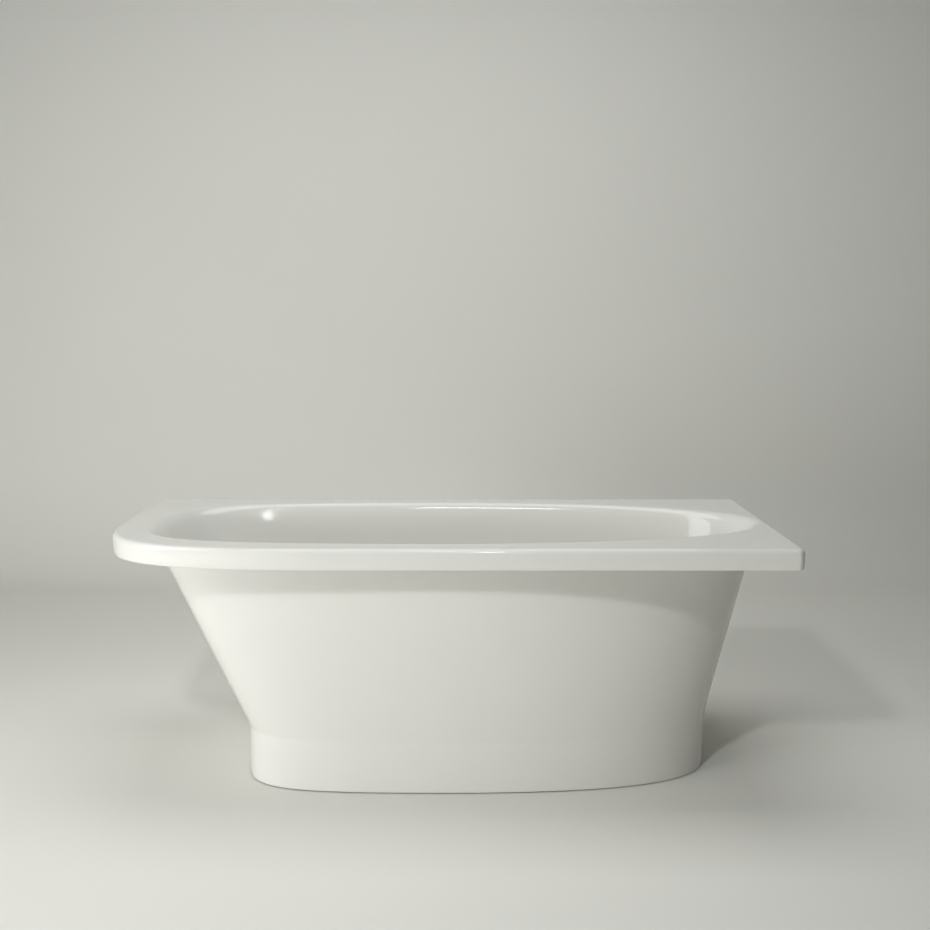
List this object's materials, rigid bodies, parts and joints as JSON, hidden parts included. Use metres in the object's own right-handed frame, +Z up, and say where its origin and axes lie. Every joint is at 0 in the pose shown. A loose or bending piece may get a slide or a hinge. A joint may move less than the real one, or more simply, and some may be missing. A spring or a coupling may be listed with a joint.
{
  "type": "bathtub",
  "caption": "Back-to-wall acrylic bathtub with overhanging rim, rounded head corner, oval basin, tapered one-piece apron on a plinth, pop-up waste and levelling feet.",
  "frame": {"origin": "on the floor, under the middle of the rim's outline", "axes": "+X along the bath towards the foot (waste) end, +Y towards the wall behind, +Z up"},
  "size_m": [1.7, 0.75, 0.65],
  "materials": {
    "sanitary_acrylic": "gloss",
    "coated_board": "resin coated",
    "rim_timber": "planed",
    "galvanised_steel": "galvanised",
    "zinc_plated_steel": "zinc plated",
    "black_nylon": "moulded",
    "grey_rubber": "moulded",
    "chrome": "polished",
    "white_polypropylene": "moulded",
    "brass": "turned",
    "acetal": "moulded",
    "hose_plastic": "corrugated",
    "cable_sheath": "extruded"
  },
  "bodies": {
    "bath": {"apron": "sanitary_acrylic", "apron_clips": "galvanised_steel", "base_board": "coated_board", "bracket_pads": "grey_rubber", "bracket_screws": "zinc_plated_steel", "clip_screws": "zinc_plated_steel", "cross_bar_foot": "galvanised_steel", "cross_bar_head": "galvanised_steel", "cross_bar_middle": "galvanised_steel", "foot_lock_nuts": "zinc_plated_steel", "foot_weld_nuts": "zinc_plated_steel", "frame_rail_front": "galvanised_steel", "frame_rail_rear": "galvanised_steel", "outlet_nut": "white_polypropylene", "outlet_pipe": "white_polypropylene", "overflow_body": "white_polypropylene", "overflow_hose": "hose_plastic", "overflow_plate": "chrome", "overflow_seal": "grey_rubber", "plinth_brackets": "galvanised_steel", "rail_screws": "zinc_plated_steel", "release_cable": "cable_sheath", "rim_board_front": "rim_timber", "rim_board_head": "rim_timber", "rim_board_rear": "rim_timber", "trap_bend": "white_polypropylene", "trap_nut": "white_polypropylene", "tub_shell": "sanitary_acrylic", "waste_body": "white_polypropylene", "waste_flange": "chrome", "waste_seal": "grey_rubber"},
    "plug": {"plug": "chrome", "plug_seal": "grey_rubber", "lift_pin": "brass"},
    "knob": {"control_knob": "chrome", "knob_spindle": "brass", "cable_drum": "acetal"},
    "foot_1": {"foot_stud_1": "zinc_plated_steel", "foot_base_1": "black_nylon", "foot_pad_1": "grey_rubber"},
    "foot_2": {"foot_stud_2": "zinc_plated_steel", "foot_base_2": "black_nylon", "foot_pad_2": "grey_rubber"},
    "foot_3": {"foot_stud_3": "zinc_plated_steel", "foot_base_3": "black_nylon", "foot_pad_3": "grey_rubber"},
    "foot_4": {"foot_stud_4": "zinc_plated_steel", "foot_base_4": "black_nylon", "foot_pad_4": "grey_rubber"},
    "foot_5": {"foot_stud_5": "zinc_plated_steel", "foot_base_5": "black_nylon", "foot_pad_5": "grey_rubber"},
    "foot_6": {"foot_stud_6": "zinc_plated_steel", "foot_base_6": "black_nylon", "foot_pad_6": "grey_rubber"}
  },
  "joints": [
    {"name": "knob_turn", "type": "hinge", "parent": "bath", "child": "knob", "pos_m": [0.75043, 0, 0.55], "axis": [-0.916, 0, 0.4012], "range_deg": [0, 90]},
    {"name": "plug_lift", "type": "slide", "parent": "bath", "child": "plug", "axis": [0, 0, 1], "range_m": [0, 0.01]},
    {"name": "foot_1_height", "type": "slide", "parent": "bath", "child": "foot_1", "axis": [0, 0, -1], "range_m": [-0.005, 0.02]},
    {"name": "foot_2_height", "type": "slide", "parent": "bath", "child": "foot_2", "axis": [0, 0, -1], "range_m": [-0.005, 0.02]},
    {"name": "foot_3_height", "type": "slide", "parent": "bath", "child": "foot_3", "axis": [0, 0, -1], "range_m": [-0.005, 0.02]},
    {"name": "foot_4_height", "type": "slide", "parent": "bath", "child": "foot_4", "axis": [0, 0, -1], "range_m": [-0.005, 0.02]},
    {"name": "foot_5_height", "type": "slide", "parent": "bath", "child": "foot_5", "axis": [0, 0, -1], "range_m": [-0.005, 0.02]},
    {"name": "foot_6_height", "type": "slide", "parent": "bath", "child": "foot_6", "axis": [0, 0, -1], "range_m": [-0.005, 0.02]}
  ],
  "couplings": [
    {"joint": "plug_lift", "follows": "knob_turn", "m_per_rad": 0.006366}
  ]
}
